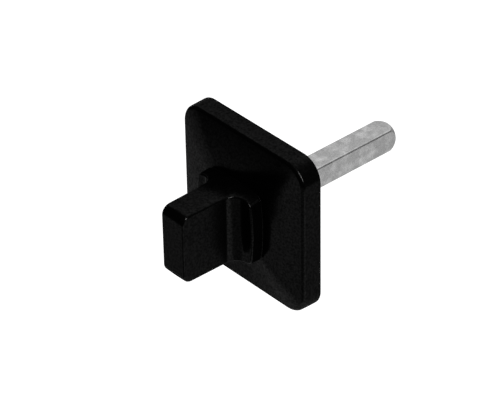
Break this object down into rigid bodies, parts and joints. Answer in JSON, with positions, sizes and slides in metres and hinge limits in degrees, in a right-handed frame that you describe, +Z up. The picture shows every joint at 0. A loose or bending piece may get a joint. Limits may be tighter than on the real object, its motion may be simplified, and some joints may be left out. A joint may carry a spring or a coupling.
{
  "type": "thumbturn knob",
  "caption": "Thumbturn for a door lock: an upright blade that flares into a square base, on a square rose whose face slopes to its edges, with a square spindle that turns the lock's bolt.",
  "frame": {"origin": "on the spindle's axis, in the plane of the door's face, which is the back of the rose and of its mounting plate", "axes": "+Y into the door, along the spindle; -Y towards the person who turns the knob; +Z up the blade at rest; +X to the right as that person sees it"},
  "size_m": [0.0556, 0.0925, 0.0556],
  "materials": {
    "black_paint": "satin black powder coat on cast zinc",
    "bare_zinc": "cast zinc, bare and dull",
    "zinc_plated_steel": "drawn steel, zinc plated",
    "dark_steel": "hardened steel, oiled",
    "nylon": "moulded, matt"
  },
  "bodies": {
    "rose": {"rose_cover": "black_paint", "mounting_plate": "bare_zinc", "rose_grub_screw": "dark_steel", "neck_bush": "nylon"},
    "knob": {"thumbturn": "black_paint", "spindle": "zinc_plated_steel", "spindle_pin": "dark_steel", "backing_washer": "zinc_plated_steel", "wave_washer": "dark_steel", "retaining_ring": "dark_steel"}
  },
  "joints": [
    {"name": "knob_turn", "type": "hinge", "parent": "rose", "child": "knob", "pos_m": [0, 0, 0], "axis": [0, 1, 0], "continuous": true}
  ]
}
